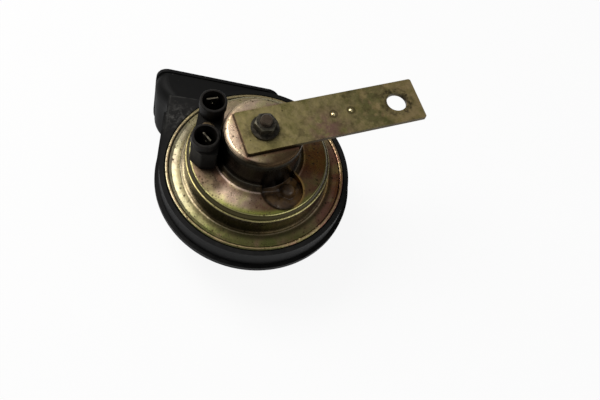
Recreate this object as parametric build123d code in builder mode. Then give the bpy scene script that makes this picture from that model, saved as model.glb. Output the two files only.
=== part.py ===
from build123d import *
import os
from math import atan2, cos, degrees, radians, sin, tan

os.makedirs("parts", exist_ok=True)

# Electromagnetic car horn with a moulded spiral trumpet. Millimetres.
# The horn's axis is Z. The flat hub of the front shell lies on Z = 0 and the steel
# back with its bracket points up. The trumpet's mouth opens towards +Y.

# ---------------------------------------------------------------- driving dimensions
# Steel housing, one deep-drawn sheet
sheet = 1.2
lip_level = 42.0             # crest of the rolled lip above the front face
lip_radius = 46.0
lip_roll = 1.0               # outer radius of the roll at the crest
crimp_width = 2.9
ring_dish = 0.8              # the flat ring is this much lower at the lip
ring_seat = 1.8              # its level part, which presses on the gasket
step_radius = 38.1           # wall that rises from the ring
step_height = 11.7
step_draft = 0.9
ledge = 1.0                  # narrow shelf on top of that wall
riser_height = 2.6           # second, smaller wall
riser_draft = 0.9
cone_rise = 2.4              # the annular plate climbs towards the drum
drum_radius = 20.0
drum_height = 36.8           # crown above the lip crest
crown_edge = 2.4
foot_fillet = 3.4
shelf_bend = 0.7
riser_bend = 0.6
shoulder_bend = 1.3
stud_gap = 0.3
recess_x = 13.3
recess_y = -19.1
recess_radius = 10.6
recess_floor = 11.0          # above the lip crest
recess_edge = 0.8

# Stud, strap bracket and nut
stud_radius = 3.0
stud_height = 47.4           # tip above the lip crest
strap_length = 95.5
strap_width = 24.0
strap_thick = 2.1
strap_corner = 1.2
strap_heel = 12.2            # from the stud to the short end
strap_angle = 22.2           # degrees from +X
strap_hole_radius = 5.25
strap_hole_edge = 12.25      # from the hole's centre to the long end
nut_flats = 10.0
nut_height = 6.0
nut_angle = 12.0
nut_flange_radius = 7.1
nut_flange_thick = 1.2
thread_gap = 0.05

# Trumpet shells
wall = 2.0
seam_level = 29.2
seam_trim = 0.5              # the ducts are drawn this far past the seam and cut flat
rim_radius = 49.8
rim_width = 2.4
rim_below_lip = 0.5
deck_thick = 2.0
plateau_below_lip = 2.0      # square corner beside the rim
plateau_end = 39.0           # where the corner stops short of the mouth
plateau_slope = 0.05
flange_reach = 2.1           # seam flange beyond the wall
flange_half = 1.35           # each shell carries half of the flange
flange_straight = 1.7        # reach along the straight side
turn_start = 78.0            # degrees, where the outer turn begins
turn_sweep = 260.0           # clockwise, to the exit
turn_depth_start = 12.0
turn_depth_end = 26.4
turn_inner_radius = 26.0
turn_outer_draft = 0.42      # millimetres inward per millimetre of depth
turn_inner_draft = 0.10
turn_round = 3.6
turn_steps = 10
hub_radius = 28.2
hub_waist = 27.0
hub_face_radius = 20.0
hub_waist_level = 11.0
hub_edge = 2.0
panel_radius = 15.5          # round panel in the hub's face, left plain
panel_groove = 0.8
panel_groove_depth = 0.5
throat_radius = 8.0
spiral_turns = 1.5
spiral_start_radius = 6.5
spiral_end_radius = 21.0
spiral_start_width = 6.0
spiral_end_width = 8.4
spiral_end_angle = 62.0
spiral_floor = 16.0
spiral_steps = 36
throat_floor = 20.0          # bottom of the chamber below the throat
gate_radius = 32.0           # where the spiral lets into the outer turn
gate_lead = 8.0
gate_step = 1.0              # the gate's floor above the trough's

# Mouth, measured at its top edge
mouth_width = 68.2
mouth_height = 36.0
mouth_corner = 8.0
mouth_x = -24.0
mouth_y = 56.6
mouth_top = 37.0
mouth_tilt = 15.0            # the lower lip is set back
mouth_slant = 4.0
lip_bead = 0.7
lip_band = 1.9
exit_y = 0.0                 # where the exit duct starts to open
exit_left = -50.0
exit_right = -25.4
exit_floor = 2.4
exit_top = 36.4
exit_corner = 4.0
bell_wall = 2.6
bell_step = 0.4              # the bell's roof is this much lower than the ring channel's
bell_steps = 14
bell_crown = 2.4             # the roof swells by this much on its way to the mouth
bell_spread = 1.5            # how late the right-hand wall opens
flare_from = 35.0            # left side: the bell turns outwards here
flare_to = 48.5

# Terminal block
upper_socket_x = -26.1
upper_socket_y = 16.0
lower_socket_x = -27.8
lower_socket_y = -5.0
socket_radius = 5.7
collar_radius = 7.0
collar_top = 33.4            # above the lip crest
collar_height = 5.0
neck_radius = 6.4
block_top = 24.0             # above the lip crest
block_heel_top = 28.4
socket_depth = 17.0
spigot_radius = 3.8
spigot_reach = 3.2           # below the shoulder of the housing
collar_edge = 0.7
block_corner = 1.6
block_outline = (
    (-34.6, -8.2),
    (-28.6, -13.4),
    (-21.0, -12.5),
    (-20.4, 20.5),
    (-26.1, 22.4),
    (-32.5, 20.0),
    (-33.4, 4.0),
)
heel_outline = (
    (-34.6, -8.2),
    (-28.6, -13.4),
    (-21.0, -12.5),
    (-20.4, 1.8),
    (-33.8, 1.8),
)
fit_gap = 0.1
blade_width = 6.3
blade_thick = 0.8
blade_tip_below = 1.6        # below the collar's rim
blade_tail = 6.0             # inside the housing
upper_blade_angle = 19.0
lower_blade_angle = -45.0
upper_blade_shift = 2.4      # away from the socket's centre
lower_blade_shift = 0.8
blade_tip_bevel = 0.3
blade_hole_radius = 0.9
blade_hole_below = 3.6
terminal_rivet_at = (-27.3, 5.5)
terminal_rivet_radius = 2.0
terminal_rivet_head_radius = 3.4
terminal_rivet_head = 1.2

# Diaphragm stack
gasket_thick = 0.5
diaphragm_thick = 0.4
clamp_ring_thick = 1.3
stack_inner_radius = 39.5
corrugation_radius = 32.0
corrugation_height = 1.2
corrugation_width = 1.6
corrugation_bend = 0.7
raised_radius = 22.0
gasket_inner_radius = 41.5

# Magnet
air_gap = 1.0
armature_radius = 7.2
armature_length = 20.4
collar_reach = 3.2
collar_thick = 1.0
armature_screw_radius = 3.0
armature_screw_length = 5.6
armature_collar_height = 9.7     # collar's top above the armature's foot
armature_chamfer = 0.6
armature_nut_height = 3.6
washer_radius = 6.5
washer_thick = 1.0
pole_radius = 8.2
pole_flange_radius = 11.0
pole_flange_thick = 0.8
pole_plate_thick = 1.6
pole_plate_radius = 18.7
plate_gap = 0.5
stud_chamfer = 0.5
bobbin_wall = 1.1
bobbin_height = 21.8
bobbin_flange_radius = 18.0
winding_radius = 16.8

# Contact breaker, hung under the recess
rivet_a = (9.0, -24.2)
rivet_b = (14.6, -25.4)
rivet_radius = 1.5
rivet_head_radius = 2.6
rivet_head_height = 1.1
insulator_thick = 0.8
spring_thick = 0.4
arm_thick = 1.0
button_height = 0.5
button_radius = 1.7
arm_width = 9.0
spring_width = 6.0
screw_x = 16.2
screw_y = -18.0
screw_radius = 2.0
screw_head_radius = 2.6
screw_head_height = 2.4
screw_slot = 0.8
screw_slot_angle = 60.0
lacquer_margin = 0.4
rivet_foot = 0.8
pad_length = 12.4
pad_width = 7.4
pad_corner = 2.0
arm_corner = 1.5
spring_reach = 18.4
arm_reach = 13.0
ear_length = 14.0
ear_width = 6.0
ear_shift = 1.0
button_reach = 8.6
screw_top = 15.2             # above the lip crest
lacquer_thick = 0.7

# ---------------------------------------------------------------- levels worked out from them
ring_level = lip_level
step_top = lip_level + step_height
shelf_radius = step_radius - step_draft
riser_radius = shelf_radius - ledge
shoulder_radius = riser_radius - riser_draft
shoulder_level = step_top + riser_height
cone_level = shoulder_level + cone_rise
crown_level = lip_level + drum_height
crown_inside = crown_level - sheet
recess_level = lip_level + recess_floor
recess_under = recess_level - sheet
flange_under = ring_level - ring_dish - sheet
lip_outer_radius = lip_radius + lip_roll
stack_radius = lip_outer_radius - sheet - fit_gap
gasket_under = flange_under - gasket_thick
diaphragm_under = gasket_under - diaphragm_thick
clamp_under = diaphragm_under - clamp_ring_thick
crimp_under = clamp_under - sheet
rim_level = lip_level - rim_below_lip
rim_inner_radius = rim_radius - rim_width
deck_top = crimp_under - gasket_thick
deck_under = deck_top - deck_thick
plateau_level = lip_level - plateau_below_lip
strap_top = crown_level + strap_thick
nut_top = strap_top + nut_height
stud_tip = lip_level + stud_height
armature_base = diaphragm_under + diaphragm_thick + corrugation_height
armature_top = armature_base + armature_length
pole_end = armature_top + air_gap
collar_level = lip_level + collar_top
armature_collar_top = armature_base + armature_collar_height
washer_under = diaphragm_under + corrugation_height - washer_thick
bobbin_top = crown_inside - pole_flange_thick
bobbin_under = bobbin_top - bobbin_height
bobbin_tube_radius = pole_radius + bobbin_wall
plate_under = bobbin_under - pole_plate_thick
spring_top = recess_under - insulator_thick
spring_under = spring_top - spring_thick
arm_top = spring_under - 2 * button_height
screw_top_level = lip_level + screw_top
pad_centre = ((rivet_a[0] + rivet_b[0]) / 2, (rivet_a[1] + rivet_b[1]) / 2)
pad_angle = degrees(atan2(rivet_b[1] - rivet_a[1], rivet_b[0] - rivet_a[0]))
arm_angle = degrees(atan2(-pad_centre[1], -pad_centre[0]))
arm_x = cos(radians(arm_angle))
arm_y = sin(radians(arm_angle))
ear_angle = degrees(atan2(screw_y - pad_centre[1], screw_x - pad_centre[0]))
button_centre = (pad_centre[0] + button_reach * arm_x, pad_centre[1] + button_reach * arm_y)
block_top_level = lip_level + block_top
heel_level = lip_level + block_heel_top
spigot_tip = shoulder_level - spigot_reach
blade_tail_level = shoulder_level - spigot_reach - blade_tail
rivet_seat = shoulder_level - sheet
seam_radius = rim_radius + flange_reach
mouth_left = mouth_x - mouth_width / 2
mouth_right = mouth_x + mouth_width / 2
mouth_floor = mouth_top - mouth_height
duct_outer_radius = rim_radius - wall
duct_inner_radius = turn_inner_radius + wall


def polar(radius, angle):
    return (radius * cos(radians(angle)), radius * sin(radians(angle)))


def shifted(point, angle, distance):
    """The point moved sideways from a direction given in degrees."""
    side = polar(distance, angle + 90)
    return (point[0] + side[0], point[1] + side[1])


def radial_plane(angle):
    """Plane through the axis: its x points outwards and its y points up."""
    return Plane(
        origin=(0, 0, 0),
        x_dir=(cos(radians(angle)), sin(radians(angle)), 0),
        z_dir=(sin(radians(angle)), -cos(radians(angle)), 0),
    )


# ---------------------------------------------------------------- steel housing
def drawn_can(inset):
    """Solid of revolution of the stepped can, moved inwards by the sheet's thickness."""
    base = flange_under
    inner_bend = 0.4
    with BuildPart() as can:
        with BuildSketch(Plane.XZ):
            with BuildLine():
                outline = FilletPolyline(
                    (step_radius - inset, base),
                    (shelf_radius - inset, step_top - inset),
                    (riser_radius - inset, step_top - inset),
                    (shoulder_radius - inset, shoulder_level - inset),
                    (drum_radius - inset, cone_level - inset),
                    (drum_radius - inset, crown_level - inset),
                    (0, crown_level - inset),
                    radius=[
                        max(shelf_bend - inset, inner_bend),
                        riser_bend + inset / 2,
                        max(shoulder_bend - inset, inner_bend),
                        foot_fillet + inset,
                        max(crown_edge - inset, inner_bend),
                    ],
                )
                Line(outline @ 1, (0, base))
                Line((0, base), outline @ 0)
            make_face()
        revolve(axis=Axis.Z)
    return can.part


def recess_plug(inset):
    """What the pressed recess beside the drum takes away from the can."""
    with BuildPart() as plug:
        with BuildSketch(Plane.XY.offset(recess_level - inset)):
            with Locations((recess_x, recess_y)):
                Circle(recess_radius + inset)
            Circle(drum_radius - inset, mode=Mode.SUBTRACT)
        extrude(amount=crown_level - recess_level)
    return plug.part


outer_can = drawn_can(0) - recess_plug(0)
inner_can = drawn_can(sheet) - recess_plug(sheet)

with BuildPart() as steel_housing:
    add(outer_can)
    add(inner_can, mode=Mode.SUBTRACT)
    # Flat ring, rolled lip and the crimp that holds the diaphragm stack
    half = sheet / 2
    with BuildSketch(Plane.XZ):
        with BuildLine():
            FilletPolyline(
                (step_radius - sheet, ring_level - half),
                (step_radius + sheet, ring_level - half),
                (lip_radius - lip_roll - ring_seat, ring_level - ring_dish - half),
                (lip_radius - lip_roll, ring_level - ring_dish - half),
                (lip_radius - lip_roll / 2, lip_level - half),
                (lip_outer_radius - half, lip_level - half),
                (lip_outer_radius - half, crimp_under + half),
                (lip_outer_radius - crimp_width, crimp_under + half),
                radius=[0.8, 0.8, 0.3, 0.25, 0.25, 0.65],
            )
        trace(line_width=sheet)
    revolve(axis=Axis.Z)
    # Holes for the stud, the terminal block, the adjusting screw and the rivets
    with BuildSketch(Plane.XY.offset(crown_level)):
        Circle(stud_radius + stud_gap)
    extrude(amount=-2 * sheet, mode=Mode.SUBTRACT)
    with BuildSketch(Plane.XY.offset(shoulder_level - 2 * sheet)):
        with Locations((upper_socket_x, upper_socket_y), (lower_socket_x, lower_socket_y)):
            Circle(spigot_radius + fit_gap)
        with Locations(terminal_rivet_at):
            Circle(terminal_rivet_radius + fit_gap)
    extrude(amount=cone_level - shoulder_level + 2 * sheet, mode=Mode.SUBTRACT)
    with BuildSketch(Plane.XY.offset(recess_level)):
        with Locations(rivet_a, rivet_b):
            Circle(rivet_radius + thread_gap)
        with Locations((screw_x, screw_y)):
            Circle(screw_radius + thread_gap)
    extrude(amount=-2 * sheet, mode=Mode.SUBTRACT)
steel_housing.part.label = "steel_housing"
export_step(steel_housing.part, "parts/steel_housing.step")


# ---------------------------------------------------------------- trumpet: outer turn of the duct
def turn_section(share, inset):
    """Rounded trapezoid of the outer turn, moved inwards by the wall's thickness."""
    depth = turn_depth_start + (turn_depth_end - turn_depth_start) * share ** 1.2
    drop = depth - inset
    trim = seam_trim + inset / 4
    outer = rim_radius - inset
    inner = turn_inner_radius + inset
    corner = turn_round - inset / 2
    with BuildSketch(radial_plane(turn_start - turn_sweep * share)) as section:
        with BuildLine():
            trough = FilletPolyline(
                (outer + turn_outer_draft * trim, seam_level + trim),
                (outer - turn_outer_draft * drop, seam_level - drop),
                (inner + turn_inner_draft * drop, seam_level - drop),
                (inner - turn_inner_draft * trim, seam_level + trim),
                radius=corner,
            )
            Line(trough @ 1, trough @ 0)
        make_face()
    return section.sketch


def turn_body(inset):
    sections = [turn_section(step / turn_steps, inset) for step in range(turn_steps + 1)]
    with BuildPart() as body:
        loft(sections=sections)
    return body.part


# ---------------------------------------------------------------- trumpet: exit bell
def bell_section(step, inset, rear, proud=0.0):
    """One half of the bell's outline, above or below the seam, at one step towards the mouth."""
    y = exit_y + (mouth_y - exit_y) * step / bell_steps
    share = min(max(step / bell_steps, 0), 1)
    flare = min(max((y - flare_from) / (flare_to - flare_from), 0), 1)
    swell = sin(radians(180 * share)) * bell_crown
    tilt = mouth_tilt * min(max(1.6 * share - 0.3, 0), 1)
    top = exit_top + (mouth_top - exit_top) * share + swell
    left = exit_left + (mouth_left - exit_left) * flare ** 2 * (3 - 2 * flare) + inset - proud
    right = exit_right + (mouth_right - exit_right) * share ** bell_spread - inset + proud
    corner = exit_corner + (mouth_corner - exit_corner) * share - inset / 2
    slant = tan(radians(mouth_slant * share))
    section_plane = Plane(
        origin=(mouth_x, y, top),
        x_dir=(1, -slant, 0),
        z_dir=(-slant, -1, tan(radians(tilt))),
    )
    if rear:
        level = top + proud if inset == 0 else min(top - inset, deck_under - bell_step)
        edge = seam_level - seam_trim - inset / 4
        outer_draft = 0
        inner_draft = 0
        corner = min(corner, 0.8 * (level - seam_level))
    else:
        level = exit_floor + (mouth_floor - exit_floor) * share + inset - proud
        edge = seam_level + seam_trim + inset / 4
        outer_draft = turn_outer_draft * (1 - share) * (seam_level - level)
        inner_draft = turn_inner_draft * (1 - share) * (seam_level - level)
    level_line = (level - top) / cos(radians(tilt))
    seam_line = (edge - top) / cos(radians(tilt))
    with BuildSketch(section_plane) as section:
        with BuildLine():
            trough = FilletPolyline(
                (left - mouth_x, seam_line),
                (left + outer_draft - mouth_x, level_line),
                (right - inner_draft - mouth_x, level_line),
                (right - mouth_x, seam_line),
                radius=corner,
            )
            Line(trough @ 1, trough @ 0)
        make_face()
    return section.sketch


def bell_half(rear):
    """Outside of one half of the bell with the bead round its lip."""
    band_steps = lip_band * bell_steps / (mouth_y - exit_y)
    with BuildPart() as half_bell:
        loft(sections=[bell_section(step, 0, rear) for step in range(bell_steps + 1)])
        loft(
            sections=[
                bell_section(bell_steps - band_steps, 0, rear, lip_bead),
                bell_section(bell_steps, 0, rear, lip_bead),
            ]
        )
    return half_bell.part


def bore_half(rear):
    """Air space of one half of the bell, run out one step past both ends."""
    with BuildPart() as half_bore:
        loft(sections=[bell_section(step, bell_wall, rear) for step in range(-1, bell_steps + 2)])
    return half_bore.part


# ---------------------------------------------------------------- trumpet: inner spiral
def spiral_points(side):
    """Points along one bank of the spiral channel, side is -1 inside or +1 outside."""
    points = []
    for step in range(spiral_steps + 1):
        share = step / spiral_steps
        radius = spiral_start_radius + (spiral_end_radius - spiral_start_radius) * share
        width = spiral_start_width + (spiral_end_width - spiral_start_width) * share
        angle = spiral_end_angle + 360 * spiral_turns * (1 - share)
        points.append(polar(radius + side * width / 2, angle))
    return points


# The channel, the gate that lets it into the outer turn, and the throat
with BuildPart() as spiral:
    with BuildSketch(Plane.XY.offset(spiral_floor)):
        with BuildLine():
            inner_bank = Spline(*spiral_points(-1))
            outer_bank = Spline(*spiral_points(1))
            Line(inner_bank @ 0, outer_bank @ 0)
            Line(inner_bank @ 1, outer_bank @ 1)
        make_face()
        # Start chamber under the throat
        with Locations(polar(spiral_start_radius, spiral_end_angle + 360 * spiral_turns)):
            Circle(spiral_start_width / 2)
    extrude(amount=deck_under - spiral_floor)
    gate_floor = seam_level - turn_depth_start + wall + gate_step
    with BuildSketch(Plane.XY.offset(gate_floor)):
        with Locations(polar((spiral_end_radius + gate_radius) / 2, spiral_end_angle - gate_lead)):
            Rectangle(gate_radius - spiral_end_radius, spiral_end_width, rotation=spiral_end_angle - gate_lead)
    extrude(amount=deck_under - gate_floor)
    with BuildSketch(Plane.XY.offset(throat_floor)):
        Circle(throat_radius)
    extrude(amount=rim_level - throat_floor)

turn_outer = turn_body(0)
turn_cavity = turn_body(wall)
bore_front = bore_half(False)
bore_rear = bore_half(True)
bell_front = bell_half(False)
bell_rear = bell_half(True)

# ---------------------------------------------------------------- front trumpet shell
with BuildPart() as front_seam:
    # Plate that closes the body under the seam, then the flange round it
    with BuildSketch(Plane.XY.offset(seam_level - wall)):
        Circle(rim_radius)
    extrude(amount=wall)
    with BuildSketch(Plane.XY.offset(seam_level - flange_half)):
        Circle(seam_radius)
        with Locations((exit_left - flange_straight, 0)):
            Rectangle(seam_radius, flare_from, align=(Align.MIN, Align.MIN))
    extrude(amount=flange_half)

with BuildPart() as front_trumpet_shell:
    # Hub with its flat face and a groove round the plain panel
    with BuildSketch(Plane.XZ):
        with BuildLine():
            hub = FilletPolyline(
                (0, 0),
                (panel_radius - panel_groove, 0),
                (panel_radius - panel_groove, panel_groove_depth),
                (panel_radius, panel_groove_depth),
                (panel_radius, 0),
                (hub_face_radius, 0),
                (hub_waist, hub_waist_level),
                (hub_radius, seam_level),
                (0, seam_level),
                radius=[0.15, 0.15, 0.15, 0.15, hub_edge, hub_edge, 0.2],
            )
            Line(hub @ 1, hub @ 0)
        make_face()
    revolve(axis=Axis.Z)
    add(turn_outer)
    add(front_seam.part)
    add(bell_front)
    # Air spaces
    add(turn_cavity, mode=Mode.SUBTRACT)
    add(bore_front, mode=Mode.SUBTRACT)
    add(spiral.part, mode=Mode.SUBTRACT)
    split(bisect_by=Plane.XY.offset(seam_level), keep=Keep.BOTTOM)
front_trumpet_shell.part.label = "front_trumpet_shell"
export_step(front_trumpet_shell.part, "parts/front_trumpet_shell.step")

# ---------------------------------------------------------------- rear trumpet shell
with BuildPart() as ring_channel:
    with BuildSketch(Plane.XY.offset(seam_level)):
        Circle(duct_outer_radius)
        Circle(duct_inner_radius, mode=Mode.SUBTRACT)
        # The quarter that the bell takes up instead
        far = 3 * rim_radius
        Polygon((0, 0), polar(far, turn_start), (-far, far), (-far, 0), align=None, mode=Mode.SUBTRACT)
    extrude(amount=deck_under - seam_level)

with BuildPart() as rear_trumpet_shell:
    with BuildSketch(Plane.XY.offset(seam_level)):
        Circle(rim_radius)
    extrude(amount=rim_level - seam_level)
    add(bell_rear)
    # Square corner between the rim and the mouth
    with BuildSketch(Plane.XY.offset(seam_level)):
        with BuildLine():
            Polyline(
                (exit_left, 0),
                (exit_left, plateau_end + plateau_slope * (mouth_x - exit_left)),
                (mouth_x, plateau_end),
                (mouth_x, 0),
                close=True,
            )
        make_face()
    extrude(amount=plateau_level - seam_level)
    with BuildSketch(Plane.XY.offset(seam_level)):
        Circle(seam_radius)
        with Locations((exit_left - flange_straight, 0)):
            Rectangle(seam_radius, flare_from, align=(Align.MIN, Align.MIN))
    extrude(amount=flange_half)
    # Pocket for the steel back, then the air spaces
    with BuildSketch(Plane.XY.offset(deck_top)):
        Circle(rim_inner_radius)
    extrude(amount=rim_level - deck_top, mode=Mode.SUBTRACT)
    add(ring_channel.part, mode=Mode.SUBTRACT)
    add(bore_rear, mode=Mode.SUBTRACT)
    add(spiral.part, mode=Mode.SUBTRACT)
    split(bisect_by=Plane.XY.offset(seam_level), keep=Keep.TOP)
rear_trumpet_shell.part.label = "rear_trumpet_shell"
export_step(rear_trumpet_shell.part, "parts/rear_trumpet_shell.step")


# ---------------------------------------------------------------- diaphragm stack
def flat_ring(inner, outer, level, thickness):
    with BuildPart() as ring:
        with BuildSketch(Plane.XY.offset(level)):
            Circle(outer)
            Circle(inner, mode=Mode.SUBTRACT)
        extrude(amount=thickness)
    return ring.part


with BuildPart() as diaphragm_gasket:
    add(flat_ring(stack_inner_radius, stack_radius, gasket_under, gasket_thick))
diaphragm_gasket.part.label = "diaphragm_gasket"
export_step(diaphragm_gasket.part, "parts/diaphragm_gasket.step")

with BuildPart() as clamp_ring:
    add(flat_ring(stack_inner_radius, stack_radius, clamp_under, clamp_ring_thick))
clamp_ring.part.label = "clamp_ring"
export_step(clamp_ring.part, "parts/clamp_ring.step")

with BuildPart() as trumpet_gasket:
    add(flat_ring(gasket_inner_radius, rim_inner_radius - fit_gap, deck_top, gasket_thick))
trumpet_gasket.part.label = "trumpet_gasket"
export_step(trumpet_gasket.part, "parts/trumpet_gasket.step")

# Thin steel disc: flat rim, one corrugation and a raised centre for the armature
with BuildPart() as diaphragm:
    middle = diaphragm_under + diaphragm_thick / 2
    raised = middle + corrugation_height
    with BuildSketch(Plane.XZ):
        with BuildLine():
            FilletPolyline(
                (stack_radius, middle),
                (corrugation_radius + 2 * corrugation_width, middle),
                (corrugation_radius + corrugation_width, raised),
                (corrugation_radius - corrugation_width, raised),
                (corrugation_radius - 2 * corrugation_width, middle),
                (raised_radius + corrugation_width, middle),
                (raised_radius, raised),
                (armature_screw_radius + thread_gap, raised),
                radius=corrugation_bend,
            )
        trace(line_width=diaphragm_thick)
    revolve(axis=Axis.Z)
diaphragm.part.label = "diaphragm"
export_step(diaphragm.part, "parts/diaphragm.step")

# ---------------------------------------------------------------- magnet
with BuildPart() as armature:
    with BuildSketch(Plane.XY.offset(armature_base)):
        Circle(armature_radius)
    extrude(amount=armature_length)
    chamfer(armature.faces().sort_by(Axis.Z)[-1].edges(), armature_chamfer)
    with BuildSketch(Plane.XY.offset(armature_collar_top - collar_thick)):
        Circle(armature_radius + collar_reach)
    extrude(amount=collar_thick)
    with BuildSketch(Plane.XY.offset(armature_base)):
        Circle(armature_screw_radius)
    extrude(amount=-armature_screw_length)
armature.part.label = "armature"
export_step(armature.part, "parts/armature.step")

with BuildPart() as armature_washer:
    hole = armature_screw_radius + thread_gap
    add(flat_ring(hole, washer_radius, washer_under, washer_thick))
armature_washer.part.label = "armature_washer"
export_step(armature_washer.part, "parts/armature_washer.step")

with BuildPart() as armature_nut:
    with BuildSketch(Plane.XY.offset(washer_under)):
        RegularPolygon(nut_flats / 2, 6, major_radius=False)
        Circle(armature_screw_radius + thread_gap, mode=Mode.SUBTRACT)
    extrude(amount=-armature_nut_height)
armature_nut.part.label = "armature_nut"
export_step(armature_nut.part, "parts/armature_nut.step")

# Core with its flange under the crown, in one piece with the mounting stud
with BuildPart() as pole_core:
    with BuildSketch(Plane.XY.offset(pole_end)):
        Circle(pole_radius)
    extrude(amount=crown_inside - pole_end)
    chamfer(pole_core.faces().sort_by(Axis.Z)[0].edges(), armature_chamfer)
    with BuildSketch(Plane.XY.offset(crown_inside - pole_flange_thick)):
        Circle(pole_flange_radius)
    extrude(amount=pole_flange_thick)
    with BuildSketch(Plane.XY.offset(crown_inside)):
        Circle(stud_radius)
    extrude(amount=stud_tip - crown_inside)
    chamfer(pole_core.faces().sort_by(Axis.Z)[-1].edges(), stud_chamfer)
pole_core.part.label = "pole_core"
export_step(pole_core.part, "parts/pole_core.step")

with BuildPart() as pole_plate:
    add(flat_ring(armature_radius + plate_gap, pole_plate_radius, plate_under, pole_plate_thick))
pole_plate.part.label = "pole_plate"
export_step(pole_plate.part, "parts/pole_plate.step")

with BuildPart() as coil_bobbin:
    with BuildSketch(Plane.XY.offset(bobbin_under)):
        Circle(bobbin_tube_radius)
    extrude(amount=bobbin_top - bobbin_under)
    with BuildSketch(Plane.XY.offset(bobbin_under), Plane.XY.offset(bobbin_top - bobbin_wall)):
        Circle(bobbin_flange_radius)
    extrude(amount=bobbin_wall)
    with BuildSketch(Plane.XY.offset(bobbin_under)):
        Circle(pole_radius + thread_gap)
    extrude(amount=bobbin_top - bobbin_under, mode=Mode.SUBTRACT)
coil_bobbin.part.label = "coil_bobbin"
export_step(coil_bobbin.part, "parts/coil_bobbin.step")

with BuildPart() as coil_winding:
    turns_height = bobbin_top - bobbin_under - 2 * bobbin_wall
    add(flat_ring(bobbin_tube_radius, winding_radius, bobbin_under + bobbin_wall, turns_height))
coil_winding.part.label = "coil_winding"
export_step(coil_winding.part, "parts/coil_winding.step")


# ---------------------------------------------------------------- contact breaker
def breaker_layer(top, thickness, reach, width, ear):
    """Strip from the rivet pad towards the axis, with the rivet holes."""
    with BuildPart() as layer:
        with BuildSketch(Plane.XY.offset(top)):
            with Locations(pad_centre):
                RectangleRounded(pad_length, pad_width, pad_corner, rotation=pad_angle)
            if reach > 0:
                with Locations((pad_centre[0] + reach / 2 * arm_x, pad_centre[1] + reach / 2 * arm_y)):
                    RectangleRounded(reach, width, arm_corner, rotation=arm_angle)
            if ear:
                with Locations(((pad_centre[0] + screw_x) / 2 + ear_shift, (pad_centre[1] + screw_y) / 2)):
                    RectangleRounded(ear_length, ear_width, arm_corner, rotation=ear_angle)
            with Locations(rivet_a, rivet_b):
                Circle(rivet_radius + thread_gap, mode=Mode.SUBTRACT)
        extrude(amount=-thickness)
    return layer.part


with BuildPart() as upper_insulator:
    add(breaker_layer(recess_under, insulator_thick, 0, 0, False))
upper_insulator.part.label = "upper_insulator"
export_step(upper_insulator.part, "parts/upper_insulator.step")

with BuildPart() as contact_spring:
    add(breaker_layer(spring_top, spring_thick, spring_reach, spring_width, False))
contact_spring.part.label = "contact_spring"
export_step(contact_spring.part, "parts/contact_spring.step")

with BuildPart() as lower_insulator:
    add(breaker_layer(spring_under, 2 * button_height, 0, 0, False))
lower_insulator.part.label = "lower_insulator"
export_step(lower_insulator.part, "parts/lower_insulator.step")

with BuildPart() as fixed_contact_arm:
    add(breaker_layer(arm_top, arm_thick, arm_reach, arm_width, True))
fixed_contact_arm.part.label = "fixed_contact_arm"
export_step(fixed_contact_arm.part, "parts/fixed_contact_arm.step")

with BuildPart() as backing_plate:
    add(breaker_layer(arm_top - arm_thick, arm_thick, 0, 0, False))
backing_plate.part.label = "backing_plate"
export_step(backing_plate.part, "parts/backing_plate.step")

with BuildPart() as moving_contact:
    with BuildSketch(Plane.XY.offset(spring_under)):
        with Locations(button_centre):
            Circle(button_radius)
    extrude(amount=-button_height)
moving_contact.part.label = "moving_contact"
export_step(moving_contact.part, "parts/moving_contact.step")

with BuildPart() as fixed_contact:
    with BuildSketch(Plane.XY.offset(arm_top)):
        with Locations(button_centre):
            Circle(button_radius)
    extrude(amount=button_height)
fixed_contact.part.label = "fixed_contact"
export_step(fixed_contact.part, "parts/fixed_contact.step")


def contact_rivet(centre):
    """Rivet from the domed head in the recess to the flat head under the backing plate."""
    foot = arm_top - 2 * arm_thick
    with BuildPart() as rivet:
        with BuildSketch(Plane.XY.offset(foot - rivet_foot)):
            with Locations(centre):
                Circle(rivet_head_radius)
        extrude(amount=rivet_foot)
        with BuildSketch(Plane.XY.offset(foot)):
            with Locations(centre):
                Circle(rivet_radius)
        extrude(amount=recess_level - foot)
        with BuildSketch(Plane.XY.offset(recess_level)):
            with Locations(centre):
                Circle(rivet_head_radius)
        extrude(amount=rivet_head_height)
        fillet(rivet.faces().sort_by(Axis.Z)[-1].edges(), 0.8 * rivet_head_height)
    return rivet.part


with BuildPart() as first_contact_rivet:
    add(contact_rivet(rivet_a))
first_contact_rivet.part.label = "first_contact_rivet"
export_step(first_contact_rivet.part, "parts/first_contact_rivet.step")

with BuildPart() as second_contact_rivet:
    add(contact_rivet(rivet_b))
second_contact_rivet.part.label = "second_contact_rivet"
export_step(second_contact_rivet.part, "parts/second_contact_rivet.step")

# Slotted screw that presses on the fixed arm's ear
with BuildPart() as adjusting_screw:
    with BuildSketch(Plane.XY.offset(arm_top)):
        with Locations((screw_x, screw_y)):
            Circle(screw_radius)
    extrude(amount=screw_top_level - arm_top)
    with BuildSketch(Plane.XY.offset(screw_top_level - screw_head_height)):
        with Locations((screw_x, screw_y)):
            Circle(screw_head_radius)
    extrude(amount=screw_head_height)
    chamfer(adjusting_screw.faces().sort_by(Axis.Z)[-1].edges(), stud_chamfer / 2)
    with BuildSketch(Plane.XY.offset(screw_top_level)):
        with Locations((screw_x, screw_y)):
            Rectangle(3 * screw_head_radius, screw_slot, rotation=screw_slot_angle)
    extrude(amount=-screw_slot, mode=Mode.SUBTRACT)
adjusting_screw.part.label = "adjusting_screw"
export_step(adjusting_screw.part, "parts/adjusting_screw.step")

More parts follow.
